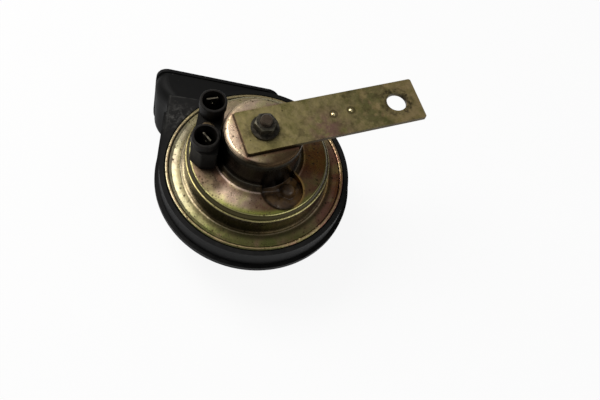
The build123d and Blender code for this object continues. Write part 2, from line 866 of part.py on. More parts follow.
with BuildPart() as sealing_lacquer:
    with BuildSketch(Plane.XY.offset(recess_level)):
        with Locations((recess_x, recess_y)):
            Circle(recess_radius - lacquer_margin)
        Circle(drum_radius + lacquer_margin, mode=Mode.SUBTRACT)
        with Locations(rivet_a, rivet_b):
            Circle(rivet_head_radius, mode=Mode.SUBTRACT)
        with Locations((screw_x, screw_y)):
            Circle(screw_radius, mode=Mode.SUBTRACT)
    extrude(amount=lacquer_thick)
sealing_lacquer.part.label = "sealing_lacquer"
export_step(sealing_lacquer.part, "parts/sealing_lacquer.step")

# ---------------------------------------------------------------- terminal block
sockets = ((upper_socket_x, upper_socket_y), (lower_socket_x, lower_socket_y))


def blade(socket, angle, shift):
    """Blade terminal: tab in the socket, a jog on its floor and a tail into the housing."""
    floor = collar_level - socket_depth
    tab_top = collar_level - blade_tip_below
    with BuildPart() as terminal:
        with BuildSketch(Plane.XY.offset(floor - blade_thick)):
            with Locations(shifted(socket, angle, shift)):
                Rectangle(blade_width, blade_thick, rotation=angle)
        extrude(amount=tab_top - floor + blade_thick)
        tip = terminal.faces().sort_by(Axis.Z)[-1].edges().sort_by(SortBy.LENGTH)[:2]
        chamfer(tip, blade_tip_bevel)
        with BuildSketch(Plane.XY.offset(floor - blade_thick)):
            with Locations(shifted(socket, angle, shift / 2)):
                Rectangle(blade_width, shift + blade_thick, rotation=angle)
        extrude(amount=blade_thick)
        with BuildSketch(Plane.XY.offset(floor)):
            with Locations(socket):
                Rectangle(blade_width, blade_thick, rotation=angle)
        extrude(amount=blade_tail_level - floor)
        hole_plane = Plane(
            origin=(*shifted(socket, angle, shift), tab_top - blade_hole_below),
            x_dir=(*polar(1, angle), 0),
            z_dir=(*polar(1, angle + 90), 0),
        )
        with BuildSketch(hole_plane):
            Circle(blade_hole_radius)
        extrude(amount=blade_thick, both=True, mode=Mode.SUBTRACT)
    return terminal.part


with BuildPart() as upper_blade:
    add(blade(sockets[0], upper_blade_angle, upper_blade_shift))
upper_blade.part.label = "upper_blade"
export_step(upper_blade.part, "parts/upper_blade.step")

with BuildPart() as lower_blade:
    add(blade(sockets[1], lower_blade_angle, lower_blade_shift))
lower_blade.part.label = "lower_blade"
export_step(lower_blade.part, "parts/lower_blade.step")

block_seat = Pos(0, 0, fit_gap) * outer_can

with BuildPart() as terminal_block:
    with BuildSketch(Plane.XY.offset(shoulder_level + fit_gap)):
        with BuildLine():
            FilletPolyline(*block_outline, close=True, radius=block_corner)
        make_face()
    extrude(amount=block_top_level - shoulder_level - fit_gap)
    # Raised heel round the lower socket
    with BuildSketch(Plane.XY.offset(shoulder_level + fit_gap)):
        with BuildLine():
            FilletPolyline(*heel_outline, close=True, radius=block_corner)
        make_face()
    extrude(amount=heel_level - shoulder_level - fit_gap)
    with BuildSketch(Plane.XY.offset(shoulder_level + fit_gap)):
        with Locations(*sockets):
            Circle(neck_radius)
    extrude(amount=collar_level - shoulder_level - fit_gap)
    with BuildSketch(Plane.XY.offset(collar_level - collar_height)):
        with Locations(*sockets):
            Circle(collar_radius)
    extrude(amount=collar_height)
    rims = terminal_block.edges().filter_by(GeomType.CIRCLE).group_by(Axis.Z)[-1]
    fillet(rims, collar_edge)
    add(block_seat, mode=Mode.SUBTRACT)
    # Spigots that locate the block in the housing
    with BuildSketch(Plane.XY.offset(spigot_tip)):
        with Locations(*sockets):
            Circle(spigot_radius)
    extrude(amount=cone_level - spigot_tip)
    with BuildSketch(Plane.XY.offset(collar_level - socket_depth)):
        with Locations(*sockets):
            Circle(socket_radius)
    extrude(amount=socket_depth, mode=Mode.SUBTRACT)
    with BuildSketch(Plane.XY.offset(spigot_tip)):
        with Locations(terminal_rivet_at):
            Circle(terminal_rivet_radius + fit_gap)
    extrude(amount=block_top_level - spigot_tip, mode=Mode.SUBTRACT)
    add(upper_blade.part, mode=Mode.SUBTRACT)
    add(lower_blade.part, mode=Mode.SUBTRACT)
terminal_block.part.label = "terminal_block"
export_step(terminal_block.part, "parts/terminal_block.step")

with BuildPart() as terminal_rivet:
    with BuildSketch(Plane.XY.offset(rivet_seat - terminal_rivet_head)):
        with Locations(terminal_rivet_at):
            Circle(terminal_rivet_head_radius)
    extrude(amount=terminal_rivet_head)
    with BuildSketch(Plane.XY.offset(rivet_seat)):
        with Locations(terminal_rivet_at):
            Circle(terminal_rivet_radius)
    extrude(amount=block_top_level - rivet_seat)
    with BuildSketch(Plane.XY.offset(block_top_level)):
        with Locations(terminal_rivet_at):
            Circle(terminal_rivet_head_radius)
    extrude(amount=terminal_rivet_head)
    fillet(terminal_rivet.faces().sort_by(Axis.Z)[-1].edges(), 0.8 * terminal_rivet_head)
terminal_rivet.part.label = "terminal_rivet"
export_step(terminal_rivet.part, "parts/terminal_rivet.step")

# ---------------------------------------------------------------- bracket and nut
with BuildPart() as bracket_strap:
    strap_plane = Plane.XY.offset(crown_level).rotated((0, 0, strap_angle))
    with BuildSketch(strap_plane):
        with Locations(((strap_length / 2 - strap_heel), 0)):
            RectangleRounded(strap_length, strap_width, strap_corner)
        Circle(stud_radius + stud_gap, mode=Mode.SUBTRACT)
        with Locations((strap_length - strap_heel - strap_hole_edge, 0)):
            Circle(strap_hole_radius, mode=Mode.SUBTRACT)
    extrude(amount=strap_thick)
bracket_strap.part.label = "bracket_strap"
export_step(bracket_strap.part, "parts/bracket_strap.step")

with BuildPart() as flange_nut:
    with BuildSketch(Plane.XY.offset(strap_top)):
        Circle(nut_flange_radius)
    extrude(amount=nut_flange_thick)
    with BuildSketch(Plane.XY.offset(strap_top)):
        RegularPolygon(nut_flats / 2, 6, major_radius=False, rotation=nut_angle)
    extrude(amount=nut_height)
    # Turned corners of the hexagon's top
    with BuildSketch(Plane.XZ):
        with BuildLine():
            Polyline(
                (nut_flats / 2 - 0.2, nut_top),
                (nut_flats / 2 + 1.2, nut_top),
                (nut_flats / 2 + 1.2, nut_top - 0.8),
                close=True,
            )
        make_face()
    revolve(axis=Axis.Z, mode=Mode.SUBTRACT)
    with BuildSketch(Plane.XY.offset(strap_top)):
        Circle(stud_radius + thread_gap)
    extrude(amount=nut_height, mode=Mode.SUBTRACT)
flange_nut.part.label = "flange_nut"
export_step(flange_nut.part, "parts/flange_nut.step")
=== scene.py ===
"""Looks for a car horn with a moulded spiral trumpet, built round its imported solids. Metres."""

import math

import bmesh
import bpy
from mathutils import Matrix, Vector


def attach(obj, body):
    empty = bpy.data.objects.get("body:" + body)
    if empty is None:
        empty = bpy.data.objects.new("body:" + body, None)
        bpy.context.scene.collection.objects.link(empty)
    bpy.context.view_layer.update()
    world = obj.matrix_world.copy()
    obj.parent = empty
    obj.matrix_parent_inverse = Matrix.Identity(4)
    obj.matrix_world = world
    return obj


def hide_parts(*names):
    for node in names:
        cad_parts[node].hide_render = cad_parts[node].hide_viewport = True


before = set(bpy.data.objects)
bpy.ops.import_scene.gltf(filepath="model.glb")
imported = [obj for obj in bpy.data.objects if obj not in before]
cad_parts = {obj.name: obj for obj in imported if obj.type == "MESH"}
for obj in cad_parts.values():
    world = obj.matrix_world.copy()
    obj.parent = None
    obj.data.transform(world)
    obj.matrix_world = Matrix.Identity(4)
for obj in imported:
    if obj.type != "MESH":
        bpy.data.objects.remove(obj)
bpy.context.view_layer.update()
MM = 0.001

# Places that the finishes and the pieces share, in millimetres. The stud stands at HUB.
HUB = (0.0, 0.0)
DRUM_FOOT = 23.5  # radii of the bends in the steel back, from the drum outwards
SHOULDER = 34.9
SHELF_EDGE = 36.9
STEP_FOOT = 38.6
LIP_CREST = 45.9
CROWN = 78.8  # height of the steel back's top
RING_TOP = 44.0  # everything on the ring is lower than this
DRUM_RADIUS = 20.05
RECESS = (13.3, -19.1)
RECESS_FLOOR = 53.0
BLOCK_FOOT = (-25.0, -16.0)
PLATEAU_BACK = 39.6  # y of the plateau's edge beside the mouth
PLATEAU_SIDE = -49.0  # x of its outer edge
SCUFF = (-42.0, 26.0)
STRAP_ANGLE = 22.2
STRAP_HALF = 12.0
STRAP_BACK = 12.2
STRAP_TOP = 80.9
HOLE_ALONG = 71.05
PIPS = ((36.3, 0.4), (45.9, 0.6))  # along and across the strap
PIP_HEIGHT = 0.55
PIP_RADIUS = 1.3


# ------------------------------------------------------------------ shader expressions
class Field:
    """A node's output that can be used in a Python expression."""

    def __init__(self, finish, socket):
        self.finish = finish
        self.socket = socket

    def math(self, operation, *values):
        inputs = dict(enumerate(values))
        return self.finish.node("ShaderNodeMath", {"operation": operation}, inputs)

    def __add__(self, other):
        return self.math("ADD", self, other)

    def __sub__(self, other):
        return self.math("SUBTRACT", self, other)

    def __rsub__(self, other):
        return self.math("SUBTRACT", other, self)

    def __neg__(self):
        return self.math("MULTIPLY", self, -1.0)

    def __mul__(self, other):
        return self.math("MULTIPLY", self, other)

    def __pow__(self, other):
        return self.math("POWER", self, other)

    __radd__ = __add__
    __rmul__ = __mul__

    def size(self):
        return self.math("ABSOLUTE", self)

    def sine(self):
        return self.math("SINE", self)

    def larger(self, other):
        return self.math("MAXIMUM", self, other)

    def rise(self, low, high):
        """0 below low, 1 above high, smooth between. With low above high it falls instead."""
        limits = {"Value": self, "From Min": low, "From Max": high}
        return self.finish.node("ShaderNodeMapRange", {"interpolation_type": "SMOOTHSTEP"}, limits)

    def near(self, centre, reach):
        """1 at the centre, 0 at the reach and beyond."""
        return (self - centre).size().rise(reach, 0.0)

    def between(self, start, full, fade, end):
        """1 from full to fade, 0 before start and after end."""
        return self.rise(start, full) * self.rise(end, fade)


def apart(first, second):
    """Length of a way from its two legs."""
    return (first * first + second * second) ** 0.5


class Finish:
    """A procedural material, with the place on the object in millimetres as x, y and z.

    Its colour is built in layers: tint is what is there so far, and paint lays more over it.
    """

    def __init__(self, name, **fixed):
        self.material = bpy.data.materials.new(name)
        self.material.use_nodes = True
        self.tree = self.material.node_tree
        self.tree.nodes.clear()
        self.shader = self.tree.nodes.new("ShaderNodeBsdfPrincipled")
        output = self.tree.nodes.new("ShaderNodeOutputMaterial")
        self.tree.links.new(self.shader.outputs[0], output.inputs[0])
        for socket, value in fixed.items():
            self.shader.inputs[socket.replace("_", " ")].default_value = value
        place = self.node("ShaderNodeTexCoord", output="Object")
        scale = {0: place, 1: (1 / MM, 1 / MM, 1 / MM)}
        self.place = self.node("ShaderNodeVectorMath", {"operation": "MULTIPLY"}, scale)
        self.x, self.y, self.z = (self.part(self.place, axis) for axis in "XYZ")
        self.up = self.part(self.node("ShaderNodeNewGeometry", output="Normal"), "Z")
        self.tint = None

    def node(self, kind, settings=None, inputs=None, output=0):
        node = self.tree.nodes.new(kind)
        for setting, value in (settings or {}).items():
            if setting == "stops":
                ramp = node.color_ramp
                while len(ramp.elements) < len(value):
                    ramp.elements.new(1.0)
                for element, (position, colour) in zip(ramp.elements, value):
                    element.position = position
                    element.color = (*colour, 1.0)
            else:
                setattr(node, setting, value)
        for socket, value in (inputs or {}).items():
            if isinstance(value, Field):
                self.tree.links.new(value.socket, node.inputs[socket])
            else:
                node.inputs[socket].default_value = value
        return Field(self, node.outputs[output])

    def part(self, vector, axis):
        return self.node("ShaderNodeSeparateXYZ", None, {0: vector}, axis)

    def off(self, place):
        """How far the surface is from the upright line through that x and y."""
        return apart(self.x - place[0], self.y - place[1])

    def noise(self, grain, detail=3.0, roughness=0.5, stretch=None, seed=0.0):
        """Soft noise whose features are about one grain, in millimetres, across."""
        settings = {"Scale": 1 / grain, "Detail": detail, "Roughness": roughness}
        settings["Vector"] = self.place
        shift = (seed, seed, seed)
        if stretch:
            moved = {"Vector": self.place, "Scale": stretch, "Location": shift}
            settings["Vector"] = self.node("ShaderNodeMapping", None, moved)
        elif seed:
            moved = {0: self.place, 1: shift}
            settings["Vector"] = self.node("ShaderNodeVectorMath", None, moved)
        return self.node("ShaderNodeTexNoise", None, settings)

    def specks(self, spacing, size, share):
        """Small round spots, on that share of the cells."""
        cells = self.tree.nodes.new("ShaderNodeTexVoronoi")
        cells.inputs["Scale"].default_value = 1 / spacing
        self.tree.links.new(self.place.socket, cells.inputs["Vector"])
        distance = Field(self, cells.outputs["Distance"])
        spot = distance.rise(size / spacing, 0.4 * size / spacing)
        lot = self.part(Field(self, cells.outputs["Color"]), "X")
        return spot * lot.rise(share, share - 0.05)

    def mix(self, factor, first, second, blend="MIX"):
        settings = {"data_type": "RGBA", "blend_type": blend}
        colours = [(*c, 1.0) if isinstance(c, tuple) else c for c in (first, second)]
        inputs = {0: factor, 6: colours[0], 7: colours[1]}
        return self.node("ShaderNodeMix", settings, inputs, 2)

    def paint(self, share, colour):
        """Lay a colour over the tint, by that share."""
        self.tint = self.mix(share, self.tint, colour)

    def ramp(self, factor, *stops):
        return self.node("ShaderNodeValToRGB", {"stops": stops}, {0: factor})

    def bump(self, height, strength, depth, under=None):
        inputs = {"Height": height, "Strength": strength, "Distance": depth * MM}
        if under:
            inputs["Normal"] = under
        return self.node("ShaderNodeBump", None, inputs)

    def done(self, **links):
        """Link the tint and the other fields to the shader, and hand over the material."""
        for socket, field in {"Base_Color": self.tint, **links}.items():
            self.tree.links.new(field.socket, self.shader.inputs[socket.replace("_", " ")])
        return self.material


# ------------------------------------------------------------------ finish of the steel back
def strap_ways(f):
    """How far along and across the strap the surface is, from the stud."""
    turn = math.radians(STRAP_ANGLE)
    along = f.x * math.cos(turn) + f.y * math.sin(turn)
    across = f.y * math.cos(turn) - f.x * math.sin(turn)
    return along, across


def film_colours(f, radius, outer):
    """Pale on the side of the terminals, browner round the other way, with a ragged border; the
    pale side is partly painted light.
    """
    hue = f.noise(12, 3, 0.55, seed=8.0) + (radius * 0.55 + f.z * 0.3).sine() * 0.03
    pale = f.ramp(
        hue,
        (0.30, (0.62, 0.58, 0.24)),
        (0.43, (0.80, 0.68, 0.36)),
        (0.53, (0.80, 0.58, 0.42)),
        (0.64, (0.54, 0.40, 0.30)),
    )
    deep = f.ramp(
        f.noise(9, 4, 0.6, seed=17.0),
        (0.32, (0.150, 0.160, 0.045)),
        (0.45, (0.24, 0.165, 0.075)),
        (0.56, (0.20, 0.100, 0.060)),
        (0.68, (0.32, 0.235, 0.110)),
    )
    ragged = (f.noise(10, 5, 0.65, seed=5.0) - 0.5) * 30.0
    # Partly the film's own colours, partly painted light: the pale colours lie on the lit side,
    # the deep ones round the other way
    plate = (f.x - f.y * 0.2 + ragged).rise(16.0, -8.0)
    ring = (f.x + f.y * -0.25 + ragged * 0.8).rise(4.0, -34.0)
    zone = plate * (1.0 - outer) + ring * outer
    gold = f.mix(hue.rise(0.42, 0.62), (0.240, 0.222, 0.138), (0.228, 0.198, 0.138))
    deep = f.mix(outer * 0.45, deep, (0.46, 0.35, 0.20))
    f.tint = f.mix(zone, deep, f.mix(outer, pale, gold))
    # Painted highlight: a lime glint just inside the shoulder, at the front
    lime_glint = radius.rise(31.5, 34.3) * (-f.y + f.x * 0.1).rise(18.0, 31.0) * (1.0 - outer)
    f.paint(lime_glint * 0.85, (0.40, 0.43, 0.09))
    wine = (f.x - f.y * 0.3).rise(22.0, 40.0) * f.noise(8, 3, seed=44.0).rise(0.36, 0.56)
    f.paint(wine * 0.75, f.mix(outer, (0.20, 0.085, 0.050), (0.24, 0.085, 0.075)))
    green = (-f.y).rise(20.0, 40.0) * outer * f.noise(9, 3, seed=6.0).rise(0.30, 0.55)
    f.paint(green * 0.75, (0.145, 0.172, 0.040))
    # Painted shade round the terminal block's foot, brownish
    block_shade = f.mix(hue.rise(0.40, 0.60), (0.105, 0.085, 0.045), (0.075, 0.050, 0.032))
    f.paint(f.off(BLOCK_FOOT).rise(14.5, 8.0) * (1.0 - outer) * 0.97, block_shade)


def wall_shade_and_bend_highlights(f, radius, wall, rolled):
    """Painted shade darkening the polished walls, with streaks up them, and painted highlights in
    thin lines where the sheet bends.
    """
    streak = f.noise(3.0, 4, 0.6, (1, 1, 0.12), 2.0).rise(0.35, 0.7)
    drum_wall_shade = f.mix(streak, (0.020, 0.018, 0.013), (0.032, 0.029, 0.021))
    step = f.mix(streak, (0.085, 0.072, 0.056), (0.150, 0.118, 0.080))
    # Painted shade: the steep walls darkened
    f.paint(wall * 0.995, f.mix(radius.rise(25.0, 29.0), drum_wall_shade, step))
    # The shelf painted dark, the short riser inside it painted shade like the walls, and painted
    # highlights in lines along both
    shown = (-f.y).rise(4.0, 28.0) * 0.7 + 0.3
    shelf = radius.between(34.2, 34.8, 37.7, 38.3) * f.z.rise(50.0, 51.0) * f.up.rise(0.3, 0.5)
    f.paint(shelf * 0.96, (0.050, 0.042, 0.016))
    riser = radius.between(34.7, 35.2, 36.8, 37.3) * f.z.rise(49.0, 50.0) * wall
    f.paint(riser * 0.96, (0.040, 0.034, 0.014))
    f.paint(radius.near(SHOULDER, 0.42) * shelf * shown * 0.85, (0.78, 0.72, 0.30))
    f.paint(radius.near(SHELF_EDGE, 0.40) * shelf * shown * 0.9, (0.80, 0.70, 0.30))
    # Painted shade on the drum's rolled edge, as dark as its wall, and olive at the back
    rolled_edge_shade = f.mix(streak, (0.009, 0.008, 0.005), (0.020, 0.017, 0.011))
    f.paint(rolled * 0.995, f.mix(f.y.rise(5.0, 13.0), rolled_edge_shade, (0.20, 0.18, 0.085)))
    # Round the drum's foot: a reddish band, painted shade on the fillet, and a painted highlight
    # along the bend
    low = f.z.rise(RING_TOP + 0.5, RING_TOP - 0.5)
    f.paint(radius.between(23.6, 24.6, 25.0, 28.0) * (1.0 - low) * 0.6, (0.17, 0.085, 0.060))
    fillet = radius.between(19.0, 20.0, 22.8, 23.4) * f.z.rise(CROWN - 8.0, CROWN - 12.0)
    f.paint(fillet * 0.96, f.mix(wall, (0.022, 0.016, 0.010), (0.044, 0.041, 0.033)))
    f.paint(radius.near(DRUM_FOOT, 0.7) * (1.0 - low) * shown * 0.9, (0.95, 0.70, 0.58))
    # Inside the ring, a painted highlight at the step's foot and a dark band painted as the dark
    # wall's reflection, and a painted highlight along the lip
    f.paint(radius.near(STEP_FOOT, 0.55) * low * 0.8, (0.95, 0.80, 0.52))
    f.paint(radius.between(38.9, 39.6, 39.8, 42.2) * low * 0.85, (0.050, 0.043, 0.018))
    f.paint(radius.near(LIP_CREST, 0.6) * 0.7, (0.90, 0.66, 0.36))
    # The recess, dark, with painted light in amber on its right side, which faces the lamp
    inside = f.off(RECESS).rise(12.1, 11.0) * f.z.rise(CROWN - 12.0, CROWN - 18.0)
    amber = f.mix(f.x.rise(18.0, 22.0), (0.022, 0.013, 0.007), (0.55, 0.34, 0.11))
    f.paint(inside * 0.95, amber)


def crown_painted_light(f, spots):
    """Painted light on the crown: a painted highlight on one side, painted shade on the other, and
    a painted contact shadow round the strap with a reddish band beside it.
    """
    # Painted highlight on the crown's left side, painted shade on its right
    lit_side = (f.x - f.y * 0.2).rise(-2.0, -12.0) * f.z.rise(CROWN - 1.5, CROWN - 0.5)
    f.paint(lit_side * (1.0 - spots) * 0.5, (0.84, 0.64, 0.44))
    shade = (f.x - f.y * 0.4).rise(2.0, 16.0) * f.z.rise(CROWN - 2.0, CROWN - 0.5)
    f.paint(shade * 0.75, (0.095, 0.058, 0.030))
    along, across = strap_ways(f)
    clear = (across.size() - STRAP_HALF).larger(-along - STRAP_BACK)
    beside = f.z.rise(CROWN - 0.6, CROWN - 0.3)
    # A reddish band, then a painted contact shadow where the strap sits on the crown
    f.paint(clear.rise(2.6, 0.6) * beside * 0.5, (0.30, 0.13, 0.09))
    f.paint(clear.rise(1.0, 0.3) * beside * 0.9, (0.018, 0.012, 0.008))


def passivated_steel():
    """Drawn sheet with a glossy yellow film that shifts to pink and green, specks, painted shade
    on the walls and painted highlights at the bends.
    """
    f = Finish("passivated_steel", Metallic=1.0)
    radius = f.off(HUB)
    outer = radius.rise(36.5, 38.5)
    wall = f.up.size().rise(0.78, 0.35)
    rolled = radius.between(17.2, 18.7, 20.5, 21.5) * f.z.rise(CROWN - 6.0, CROWN - 3.0)
    film_colours(f, radius, outer)
    wall_shade_and_bend_highlights(f, radius, wall, rolled)
    dull = f.noise(2.4, 5, 0.7, seed=11.0)
    f.paint(dull.rise(0.42, 0.72) * (0.45 - wall * 0.40), (0.12, 0.085, 0.045))
    straw = f.y.rise(16.0, 30.0) * (1.0 - wall)
    f.paint(straw * 0.55, (0.46, 0.39, 0.19))
    grit = f.noise(1.1, 4, 0.7, seed=23.0).rise(0.53, 0.70) * outer
    grit = grit * (-f.x - f.y * 0.3).rise(0.0, 28.0)
    f.paint(grit * (0.55 - wall * 0.50), (0.085, 0.072, 0.042))
    pitted = f.noise(13, 3, 0.6, seed=21.0).rise(0.38, 0.50) * f.up.rise(0.6, 0.9)
    spots = f.specks(2.7, 0.85, 0.60).larger(f.specks(1.5, 0.46, 0.6)) * pitted
    f.paint(spots * 0.85, (0.040, 0.026, 0.014))
    crown_painted_light(f, spots)
    rough = 0.20 + dull * 0.18 + spots * 0.3 - wall * 0.06 + rolled * 0.16
    # The crown is slightly domed, and the sheet is not quite even
    domed = f.z.rise(CROWN - 1.0, CROWN - 0.4) * radius * radius * -0.0028
    dents = f.bump(domed, 1.0, 1.0, f.bump(f.noise(9, 2, seed=14.0), 0.45, 0.6))
    grain = f.bump(f.noise(0.6, 4, 0.65, seed=4.0) - spots * 0.8, 0.16, 0.12, dents)
    return f.done(Roughness=rough, Normal=grain)


# ------------------------------------------------------------------ the other finishes
def strap_steel():
    """Flat strip with a satin yellow film, rolled along its length."""
    f = Finish("strap_steel", Metallic=1.0)
    along, across = strap_ways(f)
    film = f.noise(8, 5, 0.65, seed=31.0)
    f.tint = f.ramp(
        film,
        (0.30, (0.145, 0.132, 0.042)),
        (0.44, (0.225, 0.192, 0.076)),
        (0.56, (0.290, 0.235, 0.112)),
        (0.70, (0.175, 0.155, 0.052)),
    )
    # Painted highlights near the nut end
    pale = along.rise(26.0, 2.0) * f.noise(5, 4, 0.6, seed=37.0).rise(0.30, 0.62)
    f.paint(pale * 0.5, (0.30, 0.25, 0.10))
    # Painted light: the far end brighter
    f.paint(along.rise(38.0, 62.0), f.mix(1.0, f.tint, (1.4, 1.28, 1.32), "MULTIPLY"))
    violet = along.near(31.0, 17.0) * across.rise(9.0, -6.0)
    violet = violet * f.noise(5, 4, 0.6, seed=33.0).rise(0.36, 0.56)
    f.paint(violet * 0.8, (0.235, 0.118, 0.110))
    rosy = along.near(60.0, 20.0) * f.noise(6, 4, 0.6, seed=34.0).rise(0.48, 0.64)
    f.paint(rosy * 0.6, (0.230, 0.120, 0.085))
    green = along.near(57.0, 22.0) * f.noise(6, 4, 0.6, seed=35.0).rise(0.42, 0.58)
    f.paint(green * 0.7, (0.115, 0.130, 0.040))
    # Where washers and bolt heads have rubbed
    for centre, inner, outer, share in ((0.0, 6.8, 8.0, 0.5), (HOLE_ALONG, 5.2, 8.2, 0.85)):
        ring = apart(along - centre, across)
        rubbed = ring.between(inner - 0.6, inner + 0.3, outer - 0.8, outer + 1.4)
        rubbed = rubbed * f.noise(2.4, 4, 0.7, seed=centre + 2.0).rise(0.40, 0.60)
        f.paint(rubbed * share, (0.028, 0.020, 0.012))
    drawn_out = {0: along * 0.05, 1: across * 2.4, 2: f.z * 0.3}
    stretched = f.node("ShaderNodeCombineXYZ", None, drawn_out)
    rolling = {"Vector": stretched, "Scale": 1.6, "Detail": 5.0}
    lines = f.node("ShaderNodeTexNoise", None, rolling)
    f.paint(lines.rise(0.40, 0.62) * 0.18, (0.24, 0.20, 0.10))
    f.paint(f.noise(5.5, 5, 0.62, seed=38.0).rise(0.50, 0.66) * 0.5, (0.075, 0.060, 0.026))
    f.paint(f.noise(6.5, 4, 0.6, seed=42.0).rise(0.50, 0.66) * 0.45, (0.36, 0.29, 0.13))
    f.paint(f.noise(1.6, 3, 0.6, seed=40.0).rise(0.58, 0.72) * 0.45, (0.36, 0.30, 0.15))
    spots = f.specks(3.4, 0.55, 0.40) * f.noise(12, 2, seed=39.0).rise(0.48, 0.60)
    f.paint(spots * 0.8, (0.022, 0.016, 0.010))
    # Painted shade on the strap's edges
    f.paint(f.up.size().rise(0.9, 0.5) * 0.85, (0.040, 0.030, 0.016))
    rough = 0.40 + film * 0.16 - lines * 0.05 + spots * 0.2
    normal = f.bump(lines, 0.12, 0.05, f.bump(f.noise(4, 4, seed=36.0), 0.5, 0.4))
    # Painted highlights on the punched pips' crowns and painted shade round them
    for pip_along, pip_across in PIPS:
        reach = apart(along - pip_along, across - pip_across)
        f.paint(reach.near(1.9, 0.9) * 0.6, (0.05, 0.035, 0.018))
        f.paint(reach.rise(1.2, 0.5), (0.80, 0.68, 0.38))
        rough = rough - reach.rise(1.4, 0.8) * 0.22
    return f.done(Roughness=rough, Normal=normal)


def black_plastic():
    """Moulded plastic, matt and dusty, with a scuffed patch beside the terminals."""
    f = Finish("black_plastic", Specular_IOR_Level=0.13)
    cloud = f.noise(14, 4, 0.6, seed=51.0)
    f.tint = f.mix(cloud.rise(0.3, 0.7), (0.0034, 0.0034, 0.0034), (0.0062, 0.0060, 0.0057))
    # Deeper black and cleaner on the mouth than on the plateau, with a painted highlight along the
    # plateau's edges between
    mouth = f.y.rise(39.8, 40.8).larger(f.x.rise(-49.6, -50.8))
    f.paint(mouth * 0.85, (0.0012, 0.0012, 0.0011))
    dust = f.up.rise(0.55, 0.98) * f.noise(5, 5, 0.7, seed=53.0).rise(0.38, 0.68)
    dust = dust * (1.0 - mouth * 0.9)
    f.paint(dust * 0.22, (0.036, 0.034, 0.031))
    chalk = f.off(SCUFF).rise(13.0, 2.0) * f.noise(2.4, 5, 0.75, seed=54.0).rise(0.44, 0.70)
    f.paint(chalk * f.up.rise(0.7, 0.95) * 0.45, (0.17, 0.165, 0.155))
    # Painted highlight along the plateau's back and side edges
    back_edge = f.y.near(PLATEAU_BACK, 0.7) * f.x.between(-50.0, -49.2, -36.0, -26.0)
    side_edge = f.x.near(PLATEAU_SIDE, 0.6) * f.y.between(14.0, 22.0, 39.8, 40.4)
    lighter_marks = back_edge.larger(side_edge) * f.z.rise(38.5, 39.3)
    lighter_marks = lighter_marks * f.noise(3, 3, seed=55.0).rise(0.30, 0.55)
    f.paint(lighter_marks * 0.7, (0.040, 0.040, 0.037))
    f.paint(f.specks(3.6, 0.28, 0.22) * 0.5, (0.16, 0.15, 0.13))
    grain = f.bump(f.noise(0.45, 3, 0.6, seed=52.0), 0.18, 0.06, f.bump(cloud, 0.12, 0.4))
    return f.done(Roughness=0.50 + cloud * 0.16 + dust * 0.12, Normal=grain)


def block_plastic():
    """The terminal block's plastic, browner and more worn on its collars."""
    f = Finish("block_plastic", Specular_IOR_Level=0.14)
    cloud = f.noise(5, 4, 0.6, seed=61.0)
    f.tint = f.mix(cloud.rise(0.3, 0.7), (0.0036, 0.0032, 0.0026), (0.0066, 0.0056, 0.0045))
    lighter_marks = f.z.rise(69.5, 71.5) * f.noise(2.2, 4, 0.65, seed=62.0).rise(0.36, 0.66)
    f.paint(lighter_marks * 0.5, (0.022, 0.018, 0.015))
    f.paint(f.specks(2.0, 0.25, 0.25) * 0.4, (0.10, 0.09, 0.08))
    normal = f.bump(f.noise(0.4, 3, seed=63.0), 0.15, 0.05)
    return f.done(Roughness=0.46 + cloud * 0.18, Normal=normal)


def nut_steel():
    """Dark, slightly rusted steel, lighter on its upward-sloping faces."""
    f = Finish("nut_steel", Metallic=0.85)
    radius = f.off(HUB)
    cloud = f.noise(1.8, 4, 0.6, seed=71.0)
    f.tint = f.mix(cloud.rise(0.3, 0.7), (0.024, 0.021, 0.016), (0.072, 0.064, 0.048))
    rust = f.noise(3.0, 5, 0.7, seed=72.0).rise(0.55, 0.75)
    f.paint(rust * 0.3, (0.085, 0.048, 0.026))
    f.paint(f.up.between(0.25, 0.7, 0.85, 0.98) * 0.35, (0.13, 0.12, 0.08))
    stud = (radius * radius).rise(12.0, 9.0)
    f.paint(stud * 0.6, (0.070, 0.045, 0.030))
    # The stud's thread, one turn a millimetre
    ridges = (f.z * math.tau).sine() * f.up.size().rise(0.3, 0.1) * radius.rise(3.4, 3.2)
    normal = f.bump(ridges, 1.0, 0.25, f.bump(f.noise(0.35, 4, 0.7, seed=73.0), 0.25, 0.08))
    return f.done(Roughness=0.36 + cloud * 0.22, Normal=normal)


def lacquer():
    """Brown sealing lacquer, thick and glossy, dull and darker at the recess's rim."""
    f = Finish("sealing_lacquer", Coat_Roughness=0.10, Specular_IOR_Level=0.3)
    cloud = f.noise(3.2, 4, 0.6, seed=81.0)
    f.tint = f.ramp(
        cloud,
        (0.30, (0.024, 0.012, 0.005)),
        (0.50, (0.062, 0.032, 0.012)),
        (0.68, (0.110, 0.062, 0.024)),
    )
    f.paint(f.z.rise(54.3, 56.8) * 0.4, (0.070, 0.045, 0.026))
    middle = f.off(RECESS)
    f.paint(middle.rise(8.0, 9.8) * 0.8, (0.014, 0.008, 0.004))
    amber = (f.x + f.y * 0.25).rise(11.0, 17.5) * f.noise(3, 3, seed=83.0).rise(0.30, 0.55)
    f.paint(amber * 0.6, (0.23, 0.115, 0.028))
    return f.done(
        Roughness=0.30 + cloud * 0.2,
        Coat_Weight=middle.rise(9.8, 7.6) * 0.55,
        Normal=f.bump(f.noise(1.2, 3, seed=82.0), 0.25, 0.2),
    )


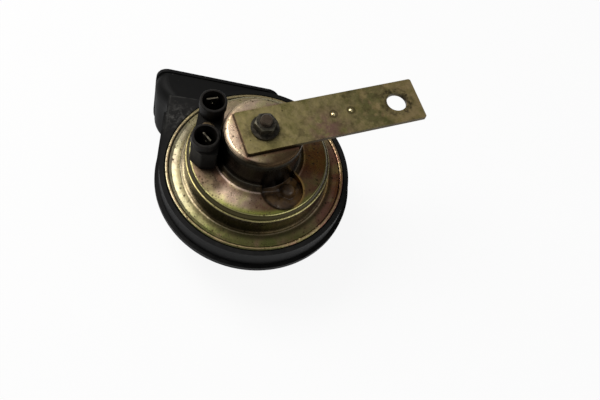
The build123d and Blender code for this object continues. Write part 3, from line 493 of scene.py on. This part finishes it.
def worked_metal(name, dark, pale, roughness, grain=2.0, seed=0.0):
    """Bare or plated metal with stains and machining grain, for the small and inner pieces."""
    f = Finish(name, Metallic=1.0)
    cloud = f.noise(grain, 4, 0.6, seed=90.0 + seed)
    f.tint = f.mix(cloud.rise(0.32, 0.68), dark, pale)
    stain = f.noise(grain * 2.5, 5, 0.7, seed=91.0 + seed).rise(0.55, 0.8)
    f.paint(stain * 0.4, tuple(channel * 0.4 for channel in dark))
    fine = f.noise(0.4, 3, 0.6, (1, 1, 1), seed)
    return f.done(Roughness=roughness + cloud * 0.15, Normal=f.bump(fine, 0.15, 0.05))


def moulded(name, dark, pale, roughness, seed):
    """Plain moulded or pressed sheet material for the inner pieces."""
    f = Finish(name)
    cloud = f.noise(2.5, 4, 0.6, seed=seed)
    f.tint = f.mix(cloud.rise(0.3, 0.7), dark, pale)
    normal = f.bump(f.noise(0.4, 4, seed=seed + 1), 0.2, 0.06)
    return f.done(Roughness=roughness + cloud * 0.12, Normal=normal)


def copper_wire():
    """Enamelled wire in close layers."""
    f = Finish("copper_wire", Metallic=1.0, Coat_Weight=0.5)
    turns = (f.z * (math.tau / 0.55)).sine()
    cloud = f.noise(3, 3, seed=95.0)
    # Painted shade between the turns, lighter on their crowns
    f.tint = f.mix(turns.rise(-1.0, 0.6), (0.16, 0.05, 0.02), (0.55, 0.22, 0.10))
    f.paint(cloud.rise(0.5, 0.8) * 0.4, (0.25, 0.09, 0.04))
    return f.done(Roughness=0.28 + cloud * 0.1, Normal=f.bump(turns, 0.6, 0.15))


# ------------------------------------------------------------------ finishes on the solids
plastic = black_plastic()
block = block_plastic()
golden = passivated_steel()
strip = strap_steel()
nut = nut_steel()
brown = lacquer()
turned = worked_metal("plain_steel", (0.30, 0.30, 0.30), (0.55, 0.55, 0.56), 0.26, seed=1.0)
springy = worked_metal("spring_steel", (0.24, 0.24, 0.25), (0.46, 0.46, 0.48), 0.20, seed=2.0)
hard = worked_metal("contact_metal", (0.45, 0.45, 0.44), (0.72, 0.72, 0.70), 0.22, seed=3.0)
rivet_metal = worked_metal("rivet_brass", (0.14, 0.10, 0.06), (0.30, 0.22, 0.12), 0.34, 1.2, 4.0)
screw_metal = worked_metal("screw_steel", (0.14, 0.09, 0.05), (0.30, 0.21, 0.12), 0.30, 1.2, 5.0)
blade_metal = worked_metal(
    "terminal_brass", (0.07, 0.06, 0.045), (0.19, 0.17, 0.125), 0.30, 1.5, 6.0
)
bobbin = moulded("bobbin_plastic", (0.52, 0.48, 0.38), (0.72, 0.68, 0.56), 0.45, 96.0)
gasket = moulded("gasket_sheet", (0.05, 0.045, 0.04), (0.12, 0.10, 0.09), 0.75, 97.0)
laminate = moulded("laminate", (0.14, 0.065, 0.03), (0.28, 0.15, 0.07), 0.40, 98.0)
FINISHES = {
    plastic: ("rear_trumpet_shell", "front_trumpet_shell"),
    block: ("terminal_block",),
    golden: ("steel_housing",),
    strip: ("bracket_strap",),
    nut: ("flange_nut", "pole_core"),
    brown: ("sealing_lacquer",),
    turned: (
        "clamp_ring",
        "armature",
        "armature_washer",
        "armature_nut",
        "pole_plate",
        "backing_plate",
        "fixed_contact_arm",
    ),
    springy: ("diaphragm", "contact_spring"),
    hard: ("moving_contact", "fixed_contact"),
    rivet_metal: ("first_contact_rivet", "second_contact_rivet", "terminal_rivet"),
    screw_metal: ("adjusting_screw",),
    blade_metal: ("upper_blade", "lower_blade"),
    copper_wire(): ("coil_winding",),
    bobbin: ("coil_bobbin",),
    gasket: ("diaphragm_gasket", "trumpet_gasket"),
    laminate: ("upper_insulator", "lower_insulator"),
}
for finish, nodes in FINISHES.items():
    for node in nodes:
        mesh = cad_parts[node].data
        mesh.materials.clear()
        mesh.materials.append(finish)


# ------------------------------------------------------------------ pieces made here
def piece(name, work, finish):
    """A new smooth piece of the horn from a bmesh in millimetres."""
    mesh = bpy.data.meshes.new(name)
    bmesh.ops.recalc_face_normals(work, faces=work.faces)
    bmesh.ops.scale(work, vec=(MM, MM, MM), verts=work.verts)
    work.to_mesh(mesh)
    work.free()
    mesh.polygons.foreach_set("use_smooth", [True] * len(mesh.polygons))
    mesh.materials.append(finish)
    thing = bpy.data.objects.new(name, mesh)
    bpy.context.collection.objects.link(thing)
    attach(thing, "root")
    return thing


def closed_heap(work, rows, bottom):
    """Join rings of vertices from the middle outwards, and close them below at that height."""
    rows.append([work.verts.new((v.co.x, v.co.y, bottom)) for v in rows[-1]])
    for inner, outer in zip(rows, rows[1:]):
        for k in range(len(inner)):
            after = (k + 1) % len(inner)
            work.faces.new((inner[k], inner[after], outer[after], outer[k]))
    work.faces.new(list(reversed(rows[-1])))
    bmesh.ops.remove_doubles(work, verts=rows[0], dist=1e-4)
    return work


def puddle():
    """Lacquer poured into the recess, over the screw and the rivets and up its walls."""
    centre = Vector(RECESS)
    reach, rings, spokes = 10.5, 30, 96
    # x, y, radius and height of the lacquer over the screw and the two rivets
    domes = ((16.4, -18.3, 4.0, 4.8), (9.0, -24.2, 3.9, 1.8), (14.6, -25.4, 3.9, 1.7))
    melt = 2.2  # how sharply the domes rise out of the film
    work = bmesh.new()
    rows = []
    for step in range(rings + 1):
        row = []
        for k in range(spokes):
            angle = math.tau * k / spokes
            way = Vector((math.cos(angle), math.sin(angle)))
            # Stop at the drum's foot where the way leads there
            inward = -centre.dot(way)
            spare = DRUM_RADIUS * DRUM_RADIUS - (centre.length_squared - inward * inward)
            limit = reach
            if inward > 0 and spare > 0:
                limit = min(reach, inward - math.sqrt(spare))
            distance = limit * (step / rings) ** 0.85
            place = centre + way * distance
            height = 0.75 + 0.15 * math.sin(place.x * 1.1 + 1.0) * math.sin(place.y * 0.9)
            climb = 3.4 if limit < reach else 0.9
            height += climb * math.exp(-(limit - distance) / 0.9)
            for x, y, wide, tall in domes:
                away = (place - Vector((x, y))).length / wide
                dome = tall * math.sqrt(max(1.0 - away ** 4, 0.0))
                height = math.log(math.exp(melt * height) + math.exp(melt * dome)) / melt
            row.append(work.verts.new((place.x, place.y, RECESS_FLOOR + height)))
        rows.append(row)
    return closed_heap(work, rows, RECESS_FLOOR + 0.02)


def pip(along, across):
    """A small dome punched up from below, on the strap's upper face."""
    turn = math.radians(STRAP_ANGLE)
    x = along * math.cos(turn) - across * math.sin(turn)
    y = along * math.sin(turn) + across * math.cos(turn)
    rings, spokes = 8, 32
    work = bmesh.new()
    rows = []
    for step in range(rings + 1):
        share = step / rings
        level = STRAP_TOP + PIP_HEIGHT * (1.0 - share * share) ** 1.5 - 0.05 * share
        row = []
        for k in range(spokes):
            angle, radius = math.tau * k / spokes, PIP_RADIUS * share
            place = (x + radius * math.cos(angle), y + radius * math.sin(angle), level)
            row.append(work.verts.new(place))
        rows.append(row)
    return closed_heap(work, rows, STRAP_TOP - 0.3)


poured = piece("lacquer_puddle", puddle(), brown)
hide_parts("sealing_lacquer")
for number, place in enumerate(PIPS, 1):
    piece("strap_pip_%d" % number, pip(*place), strip)


# ------------------------------------------------------------------ camera, light and floor
def sight(name, data, place, right, up):
    """An object that looks along its own -Z, with that right and up."""
    thing = bpy.data.objects.new(name, data)
    bpy.context.collection.objects.link(thing)
    right = Vector(right).normalized()
    up = (Vector(up) - right * right.dot(Vector(up))).normalized()
    back = right.cross(up)
    turn = Matrix((right, up, back)).transposed().to_4x4()
    thing.matrix_world = Matrix.Translation(Vector(place) * MM) @ turn
    return thing


FRAME_WIDTH = 600.0
FOCAL_LENGTH = 888.05  # in pixels of that frame
lens = bpy.data.cameras.new("camera")
lens.sensor_width = 36.0
lens.lens = FOCAL_LENGTH * lens.sensor_width / FRAME_WIDTH
lens.clip_start = 0.01
bpy.context.scene.camera = sight(
    "camera",
    lens,
    (-29.2022, -237.2421, 441.4759),
    (0.985087, 0.054722, 0.163122),
    (-0.126187, 0.874270, 0.468752),
)


def softbox(name, place, aim, side, power, colour):
    """A square lamp of that side in metres, aimed from one place in millimetres to another."""
    data = bpy.data.lights.new(name, "AREA")
    data.shape = "RECTANGLE"
    data.size = side
    data.size_y = side
    data.energy = power
    data.color = colour
    away = (Vector(place) - Vector(aim)).normalized()
    right = Vector((0, 1, 0)).cross(away).normalized()
    sight(name, data, place, right, away.cross(right))


softbox("key", (-560, 330, 860), (0, 0, 40), 0.62, 9.5, (1.0, 0.98, 0.95))
softbox("fill", (700, -500, 700), (0, 0, 30), 0.80, 2.0, (0.95, 0.97, 1.0))

world = bpy.data.worlds.new("studio")
world.use_nodes = True
sky = world.node_tree.nodes["Background"].inputs
sky["Color"].default_value = (0.95, 0.97, 1.0, 1.0)
sky["Strength"].default_value = 0.24
bpy.context.scene.world = world


def paper():
    """White floor that stays white to the eye and keeps a soft shadow."""
    f = Finish("paper", Roughness=0.9)
    f.tint = f.mix(f.noise(30, 3, seed=99.0), (0.86, 0.86, 0.86), (0.90, 0.90, 0.90))
    material = f.done()
    glow = {"Color": (1.0, 1.0, 1.0, 1.0), "Strength": 1.0}
    white = f.node("ShaderNodeEmission", None, glow)
    seen = f.node("ShaderNodeLightPath", output="Is Camera Ray")
    mirrored = f.node("ShaderNodeLightPath", output="Is Glossy Ray")
    through = f.node("ShaderNodeLightPath", output="Is Transmission Ray")
    share = seen.larger(mirrored).larger(through) * 0.90
    layers = {0: share, 1: Field(f, f.shader.outputs[0]), 2: white}
    both = f.node("ShaderNodeMixShader", None, layers)
    output = next(node for node in f.tree.nodes if node.type == "OUTPUT_MATERIAL")
    f.tree.links.new(both.socket, output.inputs[0])
    return material


floor_mesh = bpy.data.meshes.new("floor")
sheet = bmesh.new()
bmesh.ops.create_grid(sheet, x_segments=2, y_segments=2, size=3.0)
sheet.to_mesh(floor_mesh)
sheet.free()
floor_mesh.materials.append(paper())
floor = bpy.data.objects.new("floor", floor_mesh)
floor.location = (0, 0, -0.0002)
bpy.context.collection.objects.link(floor)

bpy.context.scene.view_settings.view_transform = "Standard"
